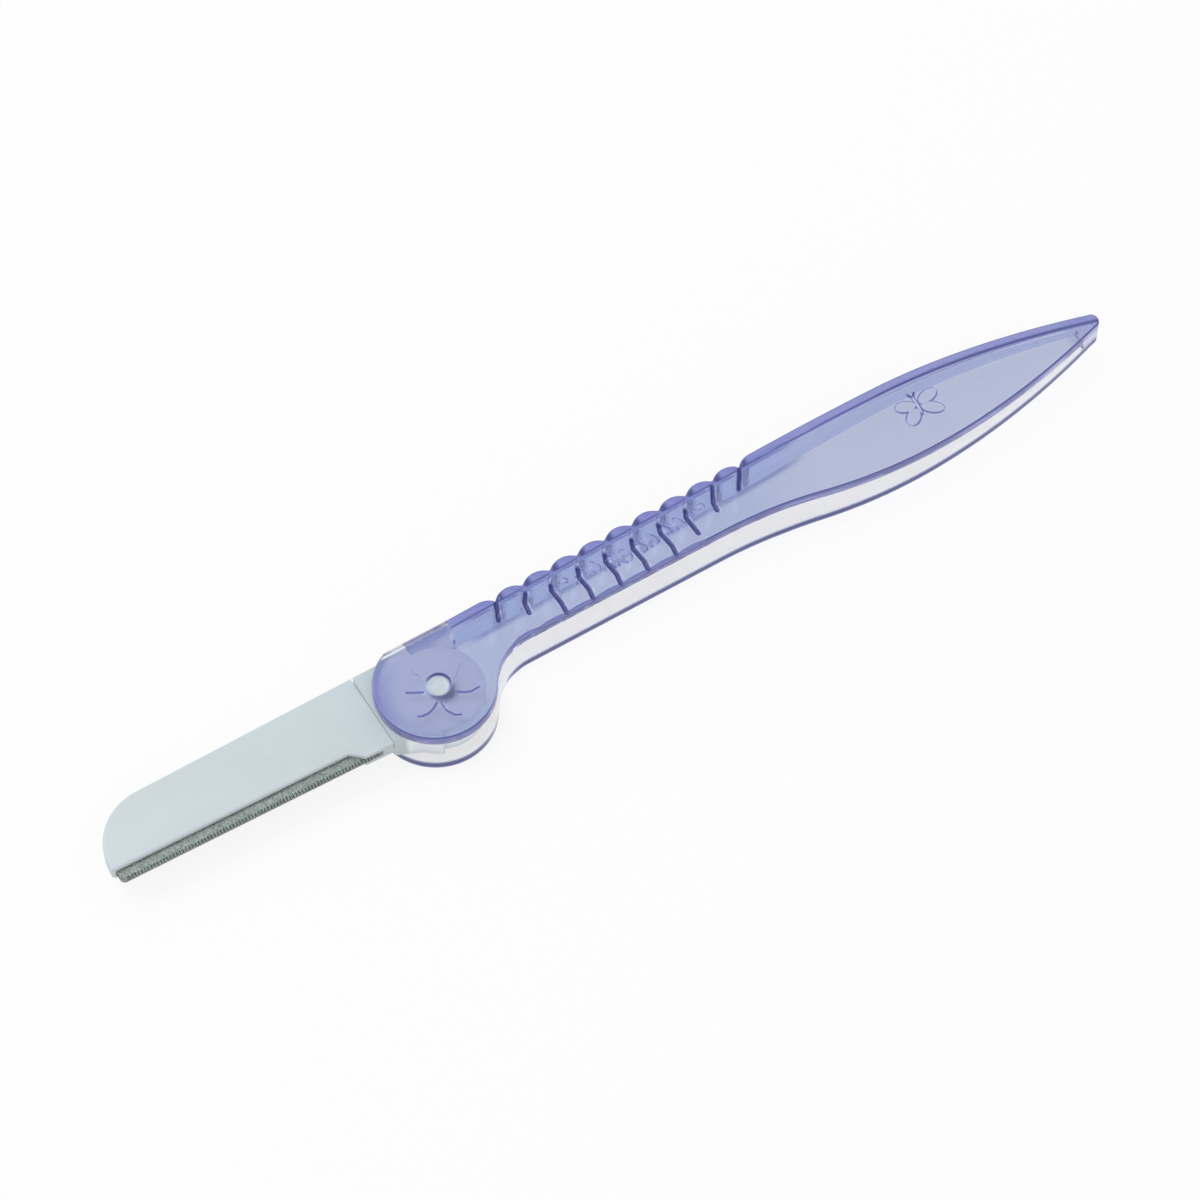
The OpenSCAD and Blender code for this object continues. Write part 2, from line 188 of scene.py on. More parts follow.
# The solid dark purple is painted shade, mixed into the clear plastic as the tone rises.
solid = clear_blue.node("BsdfPrincipled", {}, {
    "Base Color": clear_blue.blend(painted_shade, (0.3, 0.31, 0.74, 1), (0.048, 0.064, 0.22, 1)),
    "Roughness": 0.1 + 0.1 * flow, "Normal": sink})
matt = clear_blue.node("BsdfPrincipled", {}, {
    "Base Color": (0.9, 0.92, 1.0, 1), "Roughness": 0.5, "Normal": sink})
painted_shade_share = painted_shade.math("MULTIPLY", 2, clamp=True)
whitened = (frost - 0.5).math("MULTIPLY", 2, clamp=True)
plastic = clear_blue.node("MixShader", {}, {0: painted_shade_share, 1: clear, 2: solid})
plastic = clear_blue.node("MixShader", {}, {0: whitened, 1: plastic, 2: matt})
clear_blue.show(clear_blue.node("MixShader", {}, {
    0: clear_blue.node("LightPath", out="Is Shadow Ray"),
    1: plastic,
    2: clear_blue.node("BsdfTransparent", {}, {"Color": (0.95, 0.95, 0.97, 1)})}))
bulk = clear_blue.node("VolumeAbsorption", {}, {"Color": (0.36, 0.4, 0.8, 1), "Density": 70.0})
clear_blue.show(bulk, "Volume")

# Its plan is two lines over x: the back rises past the finger bumps, and the open edge falls to the
# belly. The spine runs forward to SPINE_X, and the stop rib from there to RIB_X.
TAIL, WIDE, TIP, LIP_END, END = 52.525, 75.525, 107.675, 105.325, 108.825
TOP, RISE, PEAK, SWELL, FALL = 8.05, 0.95, 9.55, 0.55, 4.85
GRIP, BELLY, LIFT = 0.35, 3.25, 5.3
HUB_R, NECK_R, TIP_R = 8.45, 8.5, 1.15
PITCH, FIRST, BUMP_H, BUMPS_START, BUMPS_END = 4.375, 13.15, 0.95, 10.9625, 54.7125
SPINE_X, RIB_X = 6.2, -0.5


def back_line(x):
    """Straight rise to the tail, a parabola to the widest place, then a fall of power 1.85 to the tip."""
    rise = TOP + RISE * np.clip((x - SPINE_X) / (TAIL - SPINE_X), 0, 1)
    swell = PEAK - SWELL * ((WIDE - x) / (WIDE - TAIL)) ** 2
    fall = PEAK - FALL * (np.clip(x - WIDE, 0, None) / (TIP - WIDE)) ** 1.85
    return np.where(x < TAIL, rise, np.where(x < WIDE, swell, fall))


def open_line(x):
    """Straight along the grip, two equal parabolas down to the belly, then a rise of power 1.9 to the tip."""
    start = TAIL - 1.75 * PITCH
    u = np.clip((x - start) / (WIDE - start), 0, 1)
    ease = np.where(u < 0.5, 2 * u * u, 1 - 2 * (1 - u) ** 2)
    return GRIP - BELLY * ease + LIFT * (np.clip(x - WIDE, 0, None) / (TIP - WIDE)) ** 1.9


def bump_line(x):
    """Arcs one pitch wide under the back line. Their radius is a quarter of the pitch squared plus the
    height squared, over twice the height. Near a valley the square of the closeness rounds it off."""
    radius = (PITCH ** 2 / 4 + BUMP_H ** 2) / (2 * BUMP_H)
    place = (x - FIRST) / PITCH
    arcs = []
    for number in (np.floor(place), np.floor(place) + np.where(place % 1 < 0.5, -1, 1)):
        mid = FIRST + (number + 0.5) * PITCH
        arcs.append(back_line(mid) - radius + np.sqrt(radius ** 2 - np.clip(x - mid, -2.9, 2.9) ** 2))
    near = np.clip(1 - np.abs(arcs[0] - arcs[1]) / 0.5, 0, 1)
    return np.maximum(*arcs) + 0.125 * near ** 2


def span(start, end, step):
    """Even values from start towards end, which is left out, no more than a step apart."""
    return np.linspace(start, end, max(1, math.ceil(abs(end - start) / step)), endpoint=False)


def circle(mid, radius, angles):
    """Points on a circle at some angles in degrees: the middle, plus the radius times cosine and sine."""
    turn = np.radians(angles)
    return np.stack([mid[0] + radius * np.cos(turn), mid[1] + radius * np.sin(turn)], 1)


def curve(line, xs):
    """Points of a line over x."""
    return np.stack([xs, line(xs)], 1)


def hub_back(x):
    """The straight back beside the hub, level with the top."""
    return np.full(len(x), TOP)


# The outline runs anticlockwise, from the spine's front end over the hub, the open edge, the tip and the
# bumps. It is made of legs, and starts holds the number of each leg's first point.
hub_mid, neck_mid, tip_mid = (-0.35, 0.35), (14.31, GRIP - NECK_R), (TIP, 3.55)
hub_end = hub_mid[0] - math.sqrt(HUB_R ** 2 - (TOP - hub_mid[1]) ** 2)
hub_turn = math.degrees(math.acos((hub_end - hub_mid[0]) / HUB_R))
legs = [
    curve(hub_back, span(SPINE_X, RIB_X, 0.4)),
    curve(hub_back, span(RIB_X, hub_end, 0.4)),
    circle(hub_mid, HUB_R, span(hub_turn, 329.92, 2)),
    circle(neck_mid, NECK_R, span(149.92, 90, 2)),
    curve(open_line, span(neck_mid[0], LIP_END, 0.3)),
    curve(open_line, span(LIP_END, TIP, 0.3)),
    circle(tip_mid, TIP_R, span(-72.6, 74.4, 10)),
    curve(back_line, span(TIP + 0.15, BUMPS_END, 0.4)),
    curve(bump_line, span(BUMPS_END, BUMPS_START, 0.15)),
    curve(back_line, span(BUMPS_START, SPINE_X, 0.4))]
outline = np.concatenate(legs)
starts = np.cumsum([0] + [len(leg) for leg in legs])
rib_end, hub_start, neck_start, lip_end, tip_start = starts[[1, 2, 3, 5, 6]]


def inward(loop):
    """Mitred offsets of one unit towards the inside of a closed anticlockwise loop: the sum of the two
    legs' normals at a point, over one more than their product."""
    step = np.roll(loop, -1, 0) - loop
    side = np.stack([-step[:, 1], step[:, 0]], 1) / np.linalg.norm(step, axis=1)[:, None]
    before = np.roll(side, 1, 0)
    return (side + before) / (1 + (side * before).sum(1))[:, None]


# Relief of the front face, as heights over the plan: grooves between the lobes, a flower of thin lines
# round the pivot, drops on the lobes, and a small butterfly near the tail
def line_gap(x, y, path):
    """Distance from each point to a path of straight legs."""
    gap = np.full(x.shape, 1e3)
    for (ax, ay), (bx, by) in zip(path, path[1:]):
        dx, dy = bx - ax, by - ay
        t = np.clip(((x - ax) * dx + (y - ay) * dy) / (dx * dx + dy * dy), 0, 1)
        gap = np.minimum(gap, np.hypot(x - ax - t * dx, y - ay - t * dy))
    return gap


def valley(gap, width):
    """Smooth rounded profile across a line, 1 on it and 0 from width on: one less the square of the gap
    over the width, squared again."""
    return np.clip(1 - (gap / width) ** 2, 0, 1) ** 2


def pad(x, y, mid, long, wide, angle, point=0.0):
    """Raised pad, 1 inside and 0 outside, with soft sides 0.24 mm wide: an oval with half its length and
    width given, turned by an angle, that narrows to one end by the share point."""
    c, s = math.cos(math.radians(angle)), math.sin(math.radians(angle))
    u = ((x - mid[0]) * c + (y - mid[1]) * s) / long
    v = (-(x - mid[0]) * s + (y - mid[1]) * c) / wide
    half = np.sqrt(np.clip(1 - u * u, 0, 1)) * (1 - point * u)
    edge = np.where(np.abs(u) < 1, (half - np.abs(v)) * wide, -1)
    t = np.clip(edge / 0.24 + 0.5, 0, 1)
    return t * t * (3 - 2 * t)


GROOVE_DEPTH, LINE_DEPTH, DROP_H, WING_H = 0.4, 0.13, 0.13, 0.14
GROOVE_W, FOOT_W, LINE_W, FEELER_W = 0.46, 0.48, 0.21, 0.22
GROOVES = [
    [(13.35, 7.4), (12.6, 5.9), (11.9, 4.3)],
    [(17.2, 6.1), (16.35, 4.9), (16.05, 3.2)],
    [(20.75, 5.4), (20.4, 4.5), (20.55, 2.4), (20.4, 0.5)],
    [(25.2, 5.7), (24.65, 4.4), (24.85, 2.2), (24.55, 0.5)],
    [(29.45, 5.7), (29.0, 4.5), (29.25, 2.2), (28.95, 0.6)],
    [(33.8, 5.8), (33.25, 4.5), (33.5, 2.0), (33.25, 0.5)],
    [(38.15, 5.9), (37.7, 4.6), (38.0, 2.0), (37.75, 0.5)],
    [(42.45, 5.9), (41.95, 4.8), (42.1, 1.9)],
    [(47.6, 7.2), (46.35, 4.9), (46.2, 3.7)],
    [(52.6, 8.1), (51.4, 6.3), (50.5, 5.0)]]
STROKED = GROOVES[2:8]
# Each petal is a path and its share of the depth
PETALS = [
    ([(-4.3, 1.15), (-3.6, 0.7), (-2.3, 0.05)], 1),
    ([(-4.8, -2.75), (-4.3, -3.05), (-3.4, -3.1), (-2.5, -2.85), (-1.6, -2.25)], 1),
    ([(-1.05, -2.5), (-1.05, -4.0), (-0.5, -5.1), (0.3, -5.5)], 1),
    ([(1.4, -2.1), (2.5, -2.9), (3.2, -3.15), (4.5, -3.1)], 1),
    ([(2.3, -0.1), (2.9, 0.2), (3.6, 0.8), (4.3, 1.15)], 0.3),
    ([(-1.5, 2.3), (-1.9, 3.1), (-2.0, 3.9)], 0.3),
    ([(5.0, 4.25), (5.3, 4.75)], 0.9)]
# Each drop is its middle, half its length and half its width. All lean the same way and narrow alike.
DROP_LEAN, DROP_POINT = 98, 0.45
DROPS = [
    ((22.75, 5.0), 0.45, 0.3), ((24.3, 4.2), 0.6, 0.4), ((27.25, 4.7), 0.95, 0.6),
    ((29.95, 3.85), 0.8, 0.4), ((31.7, 4.1), 1.15, 0.72), ((34.4, 4.0), 0.85, 0.4),
    ((36.0, 4.4), 1.15, 0.72), ((38.75, 4.5), 0.75, 0.36), ((40.5, 4.7), 0.98, 0.62),
    ((44.65, 5.4), 0.55, 0.42)]
# Four wings and the body, each its middle, half its length and width, and its angle
BUTTERFLY = [
    ((81.0, 4.6), 1.7, 0.95, 14), ((80.65, 2.65), 1.65, 0.95, -36), ((77.35, 4.55), 1.5, 0.95, 162),
    ((77.45, 2.55), 1.45, 1.0, 222), ((78.95, 3.9), 1.7, 0.28, 84)]
FEELERS = [[(79.05, 5.3), (78.7, 6.1)], [(79.15, 5.3), (79.65, 6.0)]]


def carving(x, y):
    """Grooves, thin lines, drops and butterfly, each as a share that is 1 where it is full and 0 outside.
    Two short strokes stand beside the top of each of the six middle grooves."""
    cut, lines, drops, wings = np.zeros((4, *x.shape))
    for path in GROOVES:
        foot = np.hypot(x - path[-1][0], y - path[-1][1])
        cut = np.maximum(cut, valley(line_gap(x, y, path), GROOVE_W))
        cut = np.maximum(cut, 0.9 * valley(foot, FOOT_W))
    for (top_x, top_y), *_ in STROKED:
        below = line_gap(x, y, [(top_x, top_y), (top_x + 0.65, top_y - 0.75)])
        above = line_gap(x, y, [(top_x - 0.3, top_y + 1.3), (top_x + 0.1, top_y + 0.7)])
        lines = np.maximum(lines, 0.75 * valley(below, 0.3))
        lines = np.maximum(lines, 0.45 * valley(above, 0.25))
    for path, depth in PETALS:
        lines = np.maximum(lines, depth * valley(line_gap(x, y, path), LINE_W))
    for mid, long, wide in DROPS:
        drops = np.maximum(drops, pad(x, y, mid, long, wide, DROP_LEAN, DROP_POINT))
    for mid, long, wide, angle in BUTTERFLY:
        wings = np.maximum(wings, pad(x, y, mid, long, wide, angle))
    for feeler in FEELERS:
        wings = np.maximum(wings, 0.7 * valley(line_gap(x, y, feeler), FEELER_W))
    return cut, lines, drops, wings


def spine_painted_shade(x, y):
    """Painted shade over the solid spine, from its lower line up. It is darkest along that line, which is
    fainter under the gaps between bumps, and on the left flank of each bump."""
    above = y - back_line(x) + 1.42
    lobe = (x - FIRST) / PITCH % 1
    solid_from = np.clip((x - 5.7) / 0.3, 0, 1)
    bump = np.clip(x - 10.5, 0, 1) * (x < 54.3)
    flank = np.clip(1.4 - np.abs(lobe - 0.15) / 0.14, 0, 1)
    gap = np.clip(1 - np.abs((lobe + 0.42) % 1 - 0.42) / 0.1, 0, 1)
    width = np.interp(x, (54, 66, 76, 90), (0.24, 0.26, 0.37, 0.48))
    body = solid_from * np.clip(above / 0.12 + 0.5, 0, 1) * (0.36 + 0.62 * bump * flank)
    lower_line = solid_from * valley(np.abs(above - 0.05), width) * (1 - 0.7 * bump * gap)
    return np.maximum(body, lower_line)


def hub_painted_shade(x, y):
    """Painted shade inside the hub's upper left rim, strongest 0.6 mm in, which fades over 1.5 mm."""
    gap = HUB_R - np.hypot(x - hub_mid[0], y - hub_mid[1])
    turn = np.degrees(np.arctan2(y - hub_mid[1], x - hub_mid[0])) % 360
    near = 0.4 * np.clip(1 - np.abs(gap - 0.6) / 1.5, 0, 1) ** 1.3
    return near * np.clip(1.3 - np.abs(turn - 162) / 34, 0, 1) * (x < 0)


def relief(x, y):
    """Height of the front face over its plane, its painted shade and its veil. The tint is mostly taken off a
    strip along the hub's straight back, and is a little thinner over the boss and from the tail on: painted
    light that makes those places lighter."""
    cut, lines, drops, wings = carving(x, y)
    height = -GROOVE_DEPTH * cut - LINE_DEPTH * lines
    height += DROP_H * drops * (1 - np.clip(cut * 3, 0, 1)) + WING_H * wings
    # A thin ring of painted shade round the edges of the drops and the butterfly's wings
    rims = 4 * np.maximum(drops * (1 - drops), wings * (1 - wings))
    groove_painted_shade = np.clip(1.9 * cut, 0, 1)
    painted_shades = np.maximum.reduce([groove_painted_shade, lines, 1.1 * rims, spine_painted_shade(x, y), hub_painted_shade(x, y)])
    # Painted light: less tint along the hub's straight back, over the boss and towards the tail
    strip = np.clip((y - TOP + 0.95) / 0.12, 0, 1) * np.clip((6 - x) / 0.3, 0, 1)
    over_boss = np.clip((6.8 - np.hypot(x + 0.2, y + 0.3)) / 1.2, 0, 1)
    painted_lightening = 0.1 * over_boss + 0.14 * np.clip((x - 50) / 12, 0, 1)
    return height, np.clip(painted_shades, 0, 1), 1 - np.maximum(0.85 * strip, painted_lightening)


SHARP = math.radians(32)


class Shell:
    """One piece's points and faces, gathered sheet by sheet; points that meet are joined when it is built."""

    def __init__(self):
        self.points, self.faces = np.zeros((0, 6)), []

    def add(self, plan, height, painted_shade=0.0, veil=0.0, frost=0.0):
        """Numbers of new points over a plan, at a height, with a painted shade, a veil and a frost each."""
        first = len(self.points)
        each = [np.broadcast_to(value, len(plan)) for value in (height, painted_shade, veil, frost)]
        self.points = np.vstack([self.points, np.column_stack([plan, *each])])
        return np.arange(first, len(self.points))

    def strip(self, rows, closed=True):
        """Quads between rows of equal length."""
        for a, b in zip(rows, rows[1:]):
            if closed:
                a, b = np.append(a, a[0]), np.append(b, b[0])
            self.faces += np.stack([a[:-1], a[1:], b[1:], b[:-1]], 1).tolist()

    def sheet(self, loops, bands, surface):
        """Triangles between an outer loop and its holes, over a grid in bands of (start, end, step) along
        x. Every other row is shifted by half a step, and no grid point is near a loop's own points."""
        rims = [self.points[loop, :2] for loop in loops]
        spots = []
        for start, end, step in bands:
            x, y = np.meshgrid(np.arange(start, end, step), np.arange(-9, 10, 0.87 * step))
            x = x + 0.5 * step * (np.arange(len(x)) % 2)[:, None]
            grid = np.stack([x.ravel(), y.ravel()], 1)
            spots.append(grid[covered(grid, rims, 0.6 * step)])
        spots = np.vstack(spots)
        numbers = np.concatenate([*loops, self.add(spots, *surface(spots[:, 0], spots[:, 1]))])
        plan = np.vstack([*rims, spots])
        edges, first = [], 0
        for rim in rims:
            turn = np.arange(len(rim))
            edges += np.stack([first + turn, first + (turn + 1) % len(rim)], 1).tolist()
            first += len(rim)
        _, _, faces, source, _, _ = delaunay_2d_cdt(plan.tolist(), edges, [], 0, 1e-7)
        faces = np.array(next(zip(*source)))[np.array(faces)]
        self.faces += numbers[faces[covered(plan[faces].mean(1), rims)]].tolist()

    def build(self, name, place=lambda p: p):
        """The mesh object in metres, with its points joined and its faces turned outward."""
        mesh = bpy.data.meshes.new(name)
        mesh.from_pydata((MM * place(self.points[:, :3])).tolist(), [], self.faces)
        for column, label in ((3, "painted_shade"), (4, "veil"), (5, "frost")):
            mesh.attributes.new(label, "FLOAT", "POINT").data.foreach_set("value", self.points[:, column])
        work = bmesh.new()
        work.from_mesh(mesh)
        bmesh.ops.remove_doubles(work, verts=work.verts, dist=2e-6)
        bmesh.ops.recalc_face_normals(work, faces=work.faces)
        work.to_mesh(mesh)
        work.free()
        made = bpy.data.objects.new(name, mesh)
        scene.collection.objects.link(made)
        mesh.set_sharp_from_angle(angle=SHARP)
        return made


def covered(plan, rims, margin=0.0):
    """True for points that are inside and further than a margin from the loops' points. A point is inside
    where a ray along x from it crosses the closed loops an odd number of times."""
    a = np.vstack(rims)
    b = np.vstack([np.roll(rim, -1, 0) for rim in rims])
    slope = (b[:, 0] - a[:, 0]) / np.where(a[:, 1] == b[:, 1], 1, b[:, 1] - a[:, 1])
    found = []
    for block in np.array_split(plan, len(plan) // 2000 + 1):
        x, y = block[:, :1], block[:, 1:]
        crossed = ((a[:, 1] > y) != (b[:, 1] > y)) & (x < a[:, 0] + (y - a[:, 1]) * slope)
        found.append((crossed.sum(1) % 2 == 1) & (np.hypot(x - a[:, 0], y - a[:, 1]) > margin).all(1))
    return np.concatenate(found)


# Handle's rims: rows of points round the outline, each an inward offset and a height. The front rim is
# rounder on the facets between the grooves, and the slot's lips are square where the spine is. Along the
# open edge the rims' painted shades are shares of rim_share.
FACE_Z, SLOT_TOP, RIB_Z, MID_Z, SLOT_FLOOR = 8, 6.4, 6.2, 4, 1.6
FACETS_START, FACETS = 11.66, 7
FRONT_R, FACET_R, LIP_R, REAR_R = 0.26, 0.32, 0.14, 0.2
side = inward(outline)
order = np.arange(len(outline))
lobe = (outline[:, 0] - FACETS_START) / PITCH
along_grip = (order >= neck_start) & (order < lip_end) & (lobe > 0) & (lobe < FACETS)
facet = np.where(along_grip, 1 - (2 * (lobe % 1) - 1) ** 2, 0)
outer_r = FRONT_R + FACET_R * facet
ends = [np.minimum(order, lip_end - order), np.minimum(order - rib_end, lip_end - order)]
lip_r = [LIP_R * np.clip(gap / 4, 0, 1) * (order < lip_end) for gap in ends]
share_at = [
    *(hub_start + np.array([0, 6, 16, 26, 88, 102])),
    neck_start + 14, neck_start + 24, tip_start + 4, tip_start + 8]
rim_share = np.interp(order, share_at, [0.1, 0.12, 0.12, 1, 1, 0.25, 0.25, 1, 1, 0])
on_back = order >= tip_start + 4
haze = 0.8 * on_back
shell = Shell()


def corner(radius, level, away, painted_shades, lift=0.0, veil=0.0, frost=0.0):
    """Rows round an edge, from the flat face at that level to the wall: a quarter circle, offset by one
    less the cosine and moved away by one less the sine. Away is -1 where the wall goes down."""
    rows = []
    for turn, painted_shade in zip(np.radians([90, 67.5, 45, 22.5, 0]), painted_shades):
        plan = outline + side * (radius * (1 - math.cos(turn)))[:, None]
        height = level + lift + away * radius * (1 - math.sin(turn))
        rows.append(shell.add(plan, height, painted_shade, veil, frost))
    return rows


def rim_painted_shade(edge, facets=None, spine=0):
    """Painted shade of a row: along the rim of the open edge, on the facets between grooves, and along the
    spine.
    """
    facets = edge if facets is None else facets
    return np.where(on_back, spine, rim_share * (edge + (facets - edge) * np.clip(3 * facet, 0, 1)))


def matted(x, y):
    """Frost on the rear face: a fine matt, whiter at the tip and white in a strip along the finger bumps."""
    grip = np.clip((y - back_line(x) + 1.9) / 0.5, 0, 1)
    grip = grip * np.clip((x - 8) / 3, 0, 1) * np.clip((64 - x) / 4, 0, 1)
    return 0.5 + 0.5 * np.maximum(grip, 0.5 * np.clip(x - 104.3, 0, 1))


def straight_rows(levels):
    """Rows round the outer wall, each at a height and with a painted shade along the open edge."""
    return [shell.add(outline, z, rim_painted_shade(painted_shade), haze) for z, painted_shade in levels]


height, painted_shades, veils = relief(*(outline + side * outer_r[:, None]).T)
front_painted_shades = [
    painted_shades, rim_painted_shade(1, 0.62, 0.7), rim_painted_shade(0.75, 0.4, 0.8), rim_painted_shade(0.5, 0.3, 0.8),
    rim_painted_shade(0.35, 0.25, 0.3)]
lip_painted_shades = [rim_painted_shade(painted_shade) for painted_shade in (0.01, 0.03, 0.06, 0.1, 0.18)]
floor_painted_shades = [rim_painted_shade(painted_shade) for painted_shade in (0.01, 0.05, 0.1, 0.1, 0.15)]
rear_painted_shades = [rim_painted_shade(painted_shade) for painted_shade in (0, 0.3, 0.4, 0.5, 0.6)]
rear_frost = matted(*outline.T) * on_back
front = corner(outer_r, FACE_Z, -1, front_painted_shades, height, veils)
bands = straight_rows(((7.45, 0.3), (6.8, 0.25)))
inner_front = corner(lip_r[0], SLOT_TOP, 1, lip_painted_shades, 0, haze)
inner_rear = corner(lip_r[1], SLOT_FLOOR, -1, floor_painted_shades, 0, haze)
rear_bands = straight_rows(((1.3, 0.4), (1.1, 1), (0.6, 1), (0.4, 0.5)))
rear = corner(np.full(len(outline), REAR_R), 0, 1, rear_painted_shades, 0, 0, rear_frost)
shell.strip([*front, *bands, *inner_front[::-1]])
shell.strip([*rear, *rear_bands[::-1], *inner_rear[::-1]])

# Spine wall, from the lip's end round the tip to the hub, and the stop rib on the rear cheek
# The stop rib carries a light painted shade.
SPINE_T, RIB_FOOT, RIB_PAINTED_SHADE = 1.5, 6.55, 0.2
spine = np.append(np.arange(lip_end, len(outline)), 0)
ledge = shell.add(outline[spine], RIB_Z, 0, haze[spine])
shell.strip([inner_front[0][spine], ledge, inner_rear[0][spine]], closed=False)
rib = np.arange(rib_end + 1)
rib_top = shell.add(outline[rib], RIB_Z, RIB_PAINTED_SHADE)
shell.strip([rib_top, inner_rear[0][rib]], closed=False)
slot_xs = np.append(span(SPINE_X, LIP_END, 0.5), LIP_END)
slot_end_ys = np.linspace(back_line(LIP_END) - SPINE_T, open_line(LIP_END), 9)[1:]
slot_back = np.vstack([
    curve(lambda x: back_line(x) - SPINE_T, slot_xs),
    np.stack([np.full(len(slot_end_ys), LIP_END), slot_end_ys], 1)])
inner = [shell.add(slot_back, z) for z in (SLOT_TOP, RIB_Z, SLOT_FLOOR)]
shell.strip(inner, closed=False)
rib_foot = np.array([(SPINE_X, RIB_FOOT), (RIB_X, RIB_FOOT)])
rib_rows = [shell.add(rib_foot, z, RIB_PAINTED_SHADE) for z in (RIB_Z, SLOT_FLOOR)]
shell.strip(rib_rows, closed=False)
shell.strip([[rib_top[-1], rib_rows[0][1]], [inner_rear[0][rib_end], rib_rows[1][1]]], closed=False)
shell.strip([[ledge[-1], inner[1][0]], [inner_front[0][0], inner[0][0]]], closed=False)
rib_loop = np.concatenate([rib_top, rib_rows[0][::-1]])
shell.sheet([rib_loop], [(-1, 7, 1)], lambda x, y: (RIB_Z, RIB_PAINTED_SHADE))

# Bore through both cheeks, with a rounded mouth at the front that carries painted shade, darkest at the
# upper right as a painted shadow. A row of the mouth is its radius, height, painted shade and veil, and a
# row without a veil is matt.
BORE_R = 1.57
MOUTH = [
    (1.84, FACE_Z, 0.2, 1), (1.76, 7.97, 0.9, 1), (1.69, 7.88, 1, 1), (1.65, 7.72, 1, 1),
    (BORE_R, 7.64, 0.6, 0), (BORE_R, SLOT_TOP, 0, 0)]
turns = np.arange(0, 360, 5)
painted_shadow_crescent = np.clip(np.cos(np.radians(turns - 35)) + 0.1, 0, 1) ** 0.5
mouth = [
    shell.add(circle((0, 0), radius, turns), z, share * painted_shadow_crescent, film, 0.9 - 0.9 * film)
    for radius, z, share, film in MOUTH]
shell.strip(mouth)
heel = [shell.add(circle((0, 0), BORE_R, turns), z) for z in (SLOT_FLOOR, 0)]
shell.strip(heel)

# Faces of the two cheeks, outside and inside, with the finest grids where the relief is
CARVED = [(-9, 9, 0.17), (9.1, 54, 0.2), (54.1, 74.9, 0.25), (75, 83.5, 0.14), (83.7, 109, 0.25)]
MATTED = [(-9, 5, 0.9), (5.5, 66, 0.45), (66.5, 109, 0.9)]
PLAIN = [(-9, 109, 0.9)]
lip = np.arange(lip_end + 1)
bare = np.arange(rib_end, lip_end + 1)
slot_front = np.concatenate([inner_front[0][lip], inner[0][::-1][1:]])
slot_rear = np.concatenate([inner_rear[0][bare], inner[2][::-1][1:], rib_rows[1][1:]])
shell.sheet([front[0], mouth[0]], CARVED, lambda x, y: np.array([[FACE_Z], [0], [0]]) + relief(x, y))
shell.sheet([rear[0], heel[1]], MATTED, lambda x, y: (0, 0, 0, matted(x, y)))
shell.sheet([slot_front, mouth[-1]], PLAIN, lambda x, y: (SLOT_TOP,))
shell.sheet([slot_rear, heel[0]], PLAIN, lambda x, y: (SLOT_FLOOR,))
TAPER, TAPER_X = 1.75, 54.777


def taper(points):
    """Both faces of the tail come in evenly towards the tip, by the taper each."""
    lean = TAPER * np.clip((points[:, 0] - TAPER_X) / (END - TAPER_X), 0, 1)
    return points - np.outer(np.sign(points[:, 2] - MID_Z) * lean, (0, 0, 1))


handle = shell.build("handle_shell", taper)
handle.data.materials.append(clear_blue.material)
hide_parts("handle")
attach(handle, "handle")


# Pivot pin: turned from white plastic, pressed through both cheeks and the arm. Its front end sits a
# little below the cheek, with a rounded edge and a shallow dish. A row of it is its radius and height.
PIN = [
    (0, 0), (1.43, 0), (1.51, 0.03), (1.55, 0.12), (1.55, 7.46), (1.53, 7.55), (1.48, 7.61),
    (1.4, 7.645), (1.3, 7.65), (1.2, 7.64), (1.12, 7.61), (1.02, 7.595), (0.5, 7.59),
    (0.44, 7.605), (0.36, 7.61), (0, 7.61)]
pin_white = Finish("pin_plastic")
mottle = pin_white.grain(0.6, 3)
pin_white.show(pin_white.node("BsdfPrincipled", {}, {
    "Base Color": pin_white.blend(mottle, (0.5, 0.585, 0.645, 1), (0.575, 0.66, 0.73, 1)),
    "Roughness": 0.3 + 0.12 * mottle, "Normal": pin_white.uneven(pin_white.grain(0.12), 0.004)}))
pin_shell = Shell()
pin_shell.strip([pin_shell.add(circle((0, 0), radius, turns), z) for radius, z in PIN])
pin = pin_shell.build("pivot_stud")
pin.data.materials.append(pin_white.material)
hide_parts("pivot_pin")
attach(pin, "handle")


# Blade carrier: a white moulding with the arm that turns between the cheeks and the rear half of the
# head. The mould leaves a satin face and softly rounded edges. The boss round the pivot is a little
# smoother, and painted paler: painted light against the shade that falls on it between the cheeks. Its
# front face is painted warmer, against the blue of the light that reaches it through the cheek.
BOSS_R, BOSS_FACE, ARM_CLEAR = 8.4, 6.15, 9.5
head_white = Finish("head_plastic")
cloud, pits = head_white.grain(4, 3), head_white.grain(0.15, 2)
spot = head_white.node("TexCoord", out="Object")
flat = head_white.node("VectorMath", {"operation": "MULTIPLY"}, {0: spot, 1: (1, 1, 0)})
reach = head_white.node("VectorMath", {"operation": "LENGTH"}, {0: flat}, out="Value")
up = head_white.node("SeparateXYZ", {}, {0: spot}, out="Z")
boss_painted_light = (MM * BOSS_R - reach).math("MULTIPLY", 2500, clamp=True)
warmed_front_face = (up - MM * BOSS_FACE).math("MULTIPLY", 40000, clamp=True)
satin = head_white.blend(cloud, (0.525, 0.6, 0.63, 1), (0.565, 0.64, 0.67, 1))
boss_painted_colour = head_white.blend(warmed_front_face, (0.88, 0.95, 1.0, 1), (0.91, 0.89, 0.84, 1))
head_white.show(head_white.node("BsdfPrincipled", {}, {
    "Base Color": head_white.blend(boss_painted_light, satin, boss_painted_colour),
    "Roughness": 0.36 + 0.08 * pits - 0.06 * boss_painted_light, "Normal": head_white.uneven(pits, 0.004)}))


